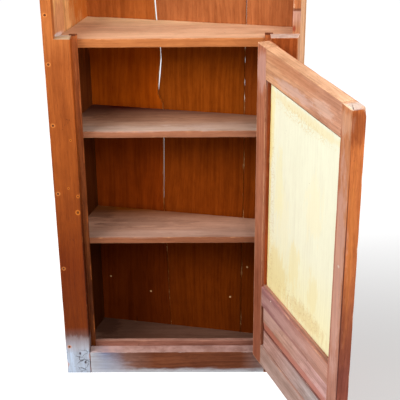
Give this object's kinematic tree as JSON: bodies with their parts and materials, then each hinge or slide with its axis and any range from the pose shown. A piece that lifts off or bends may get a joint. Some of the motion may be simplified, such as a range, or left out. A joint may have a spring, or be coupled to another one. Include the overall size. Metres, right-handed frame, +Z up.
{
  "type": "hanging cupboard",
  "caption": "Tall skewed wall cupboard with an open niche above, a framed and panelled door below that swings on butt hinges, shelves behind it and an upright board back.",
  "frame": {"origin": "middle of the bottom rail's underside, half way through its thickness", "axes": "+X along the front towards the hinged side, -Y out of the front, +Z up"},
  "size_m": [0.683, 0.6841, 1.17],
  "materials": {
    "front_wood": "old orange-brown varnish, worn and stained",
    "side_wood": "thin reddish stain, faded",
    "shelf_wood": "bare boards, dusty pinkish grey",
    "back_wood": "dark red-brown varnish, upright grain",
    "door_wood": "faded, greyish lilac haze",
    "plank_wood": "bare boards, greyish",
    "bead_wood": "orange-brown varnish",
    "cream_paint": "old cream paint, yellowed at its edges",
    "knob_wood": "dark varnish",
    "hinge_iron": "dulled steel",
    "nail_iron": "dark iron"
  },
  "bodies": {
    "case": {"left_side": "side_wood", "right_side": "side_wood", "left_stile": "front_wood", "right_stile": "front_wood", "bottom_rail": "front_wood", "top_board": "front_wood", "hanging_rail": "shelf_wood", "top_shelf": "shelf_wood", "upper_shelf": "shelf_wood", "lower_shelf": "shelf_wood", "bottom_board": "shelf_wood", "left_stop_strip": "front_wood", "right_stop_strip": "front_wood", "bottom_stop_lath": "front_wood", "back_board_left": "back_wood", "back_board_middle": "back_wood", "back_board_right": "back_wood", "front_nails": "nail_iron", "back_nails": "nail_iron", "hinge_frame_leaf_upper": "hinge_iron", "hinge_frame_leaf_lower": "hinge_iron", "hinge_pin_upper": "hinge_iron", "hinge_pin_lower": "hinge_iron", "hinge_frame_screws": "hinge_iron"},
    "door": {"door_hinge_stile": "door_wood", "door_free_stile": "door_wood", "door_top_rail": "door_wood", "door_mid_rail": "door_wood", "door_bottom_rail": "door_wood", "door_upper_panel": "cream_paint", "door_lower_panel": "plank_wood", "door_cross_board_upper": "plank_wood", "door_cross_board_lower": "plank_wood", "bead_top": "bead_wood", "bead_bottom": "bead_wood", "bead_hinge_side": "bead_wood", "bead_free_side": "bead_wood", "door_knob": "knob_wood", "knob_screw": "hinge_iron", "hinge_door_leaf_upper": "hinge_iron", "hinge_door_leaf_lower": "hinge_iron", "hinge_door_screws": "hinge_iron"}
  },
  "joints": [
    {"name": "door_swing", "type": "hinge", "parent": "case", "child": "door", "pos_m": [0.22875, -0.0175, 0.5], "axis": [0, 0, 1], "range_deg": [-111, 64]}
  ]
}
